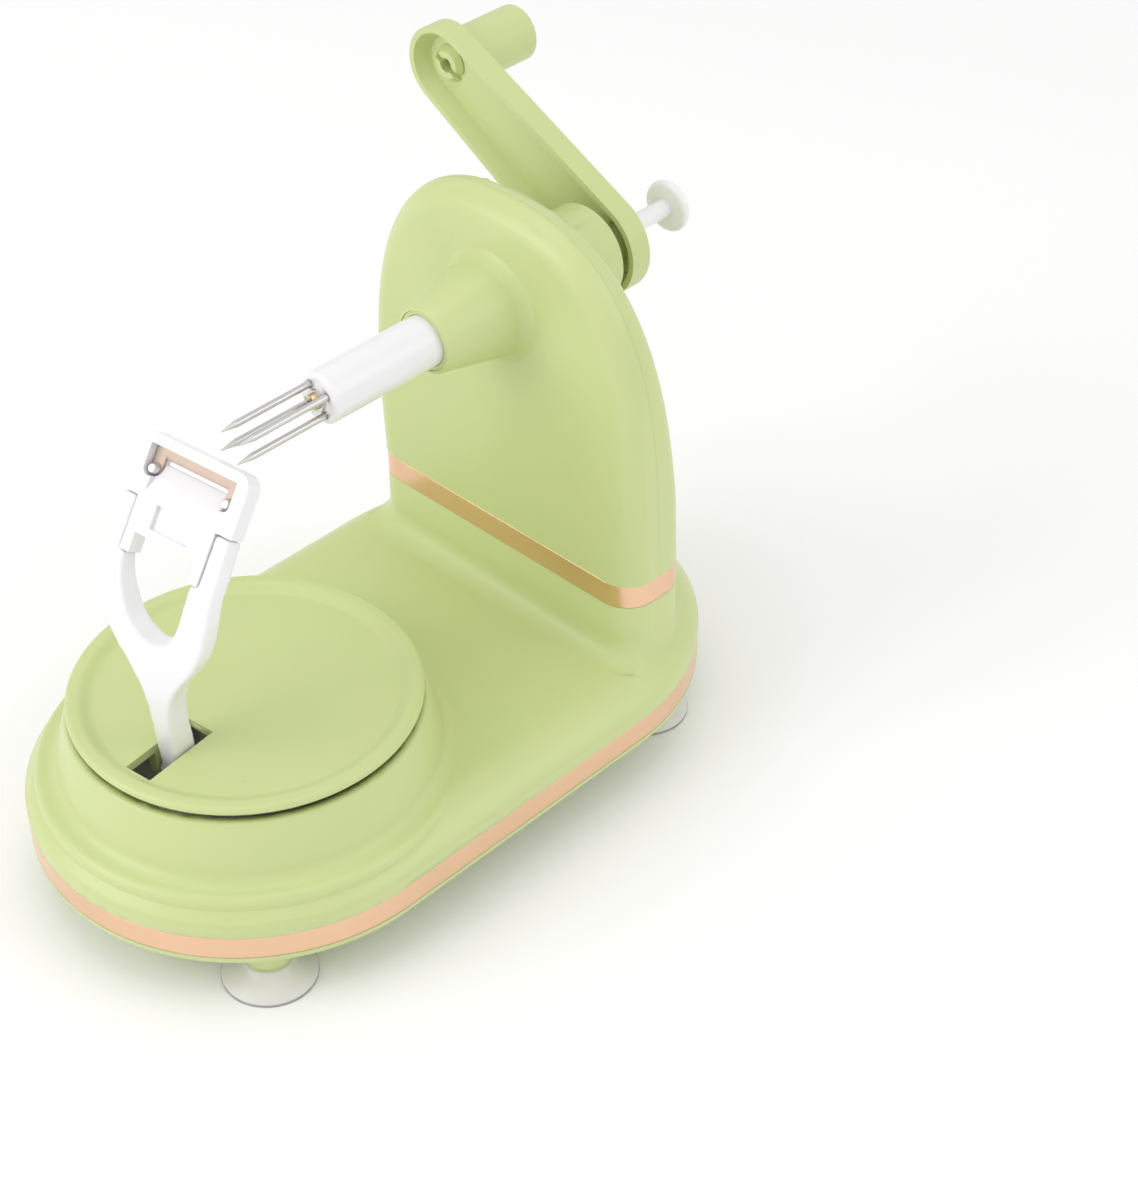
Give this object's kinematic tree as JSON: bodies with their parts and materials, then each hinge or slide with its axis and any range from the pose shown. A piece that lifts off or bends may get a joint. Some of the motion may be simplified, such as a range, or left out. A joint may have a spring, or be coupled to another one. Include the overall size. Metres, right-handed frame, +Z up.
{
  "type": "hand-cranked apple peeler",
  "caption": "Countertop apple peeler: a crank turns a needle fork through a column and, by hidden gears, a turntable whose sprung arm carries the peeling blade around the fruit.",
  "frame": {"origin": "middle of the footprint on the table", "axes": "+Z up, +X from the turntable to the crank, +Y to the crank handle's side"},
  "size_m": [0.2314, 0.1358, 0.18],
  "materials": {
    "green_plastic": "satin",
    "copper_trim": "satin metallic",
    "white_plastic": "gloss",
    "nylon": "satin",
    "steel": "polished",
    "brass_screw": "satin",
    "clear_rubber": "satin"
  },
  "bodies": {
    "housing": {"bottom_cover": "green_plastic", "upper_shell": "green_plastic", "base_stripe": "copper_trim", "suction_cups": "clear_rubber", "housing_screws": "steel", "column_band": "copper_trim", "column_front": "green_plastic", "column_rear": "green_plastic", "column_screws": "steel", "front_bush": "nylon", "rear_bush": "nylon", "gear_frame": "nylon", "frame_screws": "steel", "gear_axles": "steel", "turntable_bearing": "nylon"},
    "spindle": {"spindle_sleeve": "white_plastic", "fork_needles": "steel", "drive_pinion": "white_plastic", "crank_arm": "green_plastic", "crank_screw": "steel"},
    "grip": {"handle_grip": "green_plastic"},
    "ejector": {"ejector_rod": "white_plastic", "push_knob": "white_plastic", "pusher_washer": "steel", "pusher_screw": "brass_screw"},
    "reduction": {"reduction_gear": "white_plastic"},
    "idler": {"idler_gear": "white_plastic"},
    "shaft": {"drive_shaft": "steel", "shaft_gear": "white_plastic", "shaft_pinion": "white_plastic"},
    "turntable": {"turntable_disc": "green_plastic", "crown_gear": "white_plastic", "crown_screws": "steel", "retainer_washer": "steel", "retainer_screw": "steel", "arm_pin": "steel"},
    "arm": {"peeling_arm": "white_plastic", "blade_head": "white_plastic", "blade": "steel", "blade_rivets": "steel", "arm_spring": "steel"}
  },
  "joints": [
    {"name": "crank_spin", "type": "hinge", "parent": "housing", "child": "spindle", "pos_m": [-0.05325, -0.00544, 0.1345], "axis": [1, 0, 0], "range_deg": [-1440, 1440]},
    {"name": "grip_spin", "type": "hinge", "parent": "spindle", "child": "grip", "pos_m": [0.09025, 0.05564, 0.16766], "axis": [1, 0, 0], "continuous": true},
    {"name": "ejector_push", "type": "slide", "parent": "spindle", "child": "ejector", "axis": [-1, 0, 0], "range_m": [0, 0.02]},
    {"name": "reduction_spin", "type": "hinge", "parent": "housing", "child": "reduction", "pos_m": [-0.05325, -0.00544, 0.0995], "axis": [1, 0, 0], "range_deg": [-400, 400]},
    {"name": "idler_spin", "type": "hinge", "parent": "housing", "child": "idler", "pos_m": [-0.05325, -0.00544, 0.062], "axis": [1, 0, 0], "range_deg": [-100, 100]},
    {"name": "shaft_spin", "type": "hinge", "parent": "housing", "child": "shaft", "pos_m": [-0.05325, -0.00544, 0.0245], "axis": [1, 0, 0], "range_deg": [-400, 400]},
    {"name": "turntable_turn", "type": "hinge", "parent": "housing", "child": "turntable", "pos_m": [-0.05325, -0.00544, 0.055], "axis": [0, 0, 1], "range_deg": [-80, 80]},
    {"name": "arm_tilt", "type": "hinge", "parent": "turntable", "child": "arm", "pos_m": [-0.07878, -0.00835, 0.046], "axis": [0.1132, -0.9936, 0], "range_deg": [0, 40], "stiffness_Nm_per_rad": 0.15, "springref_deg": -17.19, "deforming": ["arm_spring"]}
  ],
  "couplings": [
    {"joint": "reduction_spin", "follows": "crank_spin", "ratio": -0.27273},
    {"joint": "idler_spin", "follows": "crank_spin", "ratio": 0.068182},
    {"joint": "shaft_spin", "follows": "crank_spin", "ratio": -0.27273},
    {"joint": "turntable_turn", "follows": "crank_spin", "ratio": 0.054545}
  ]
}
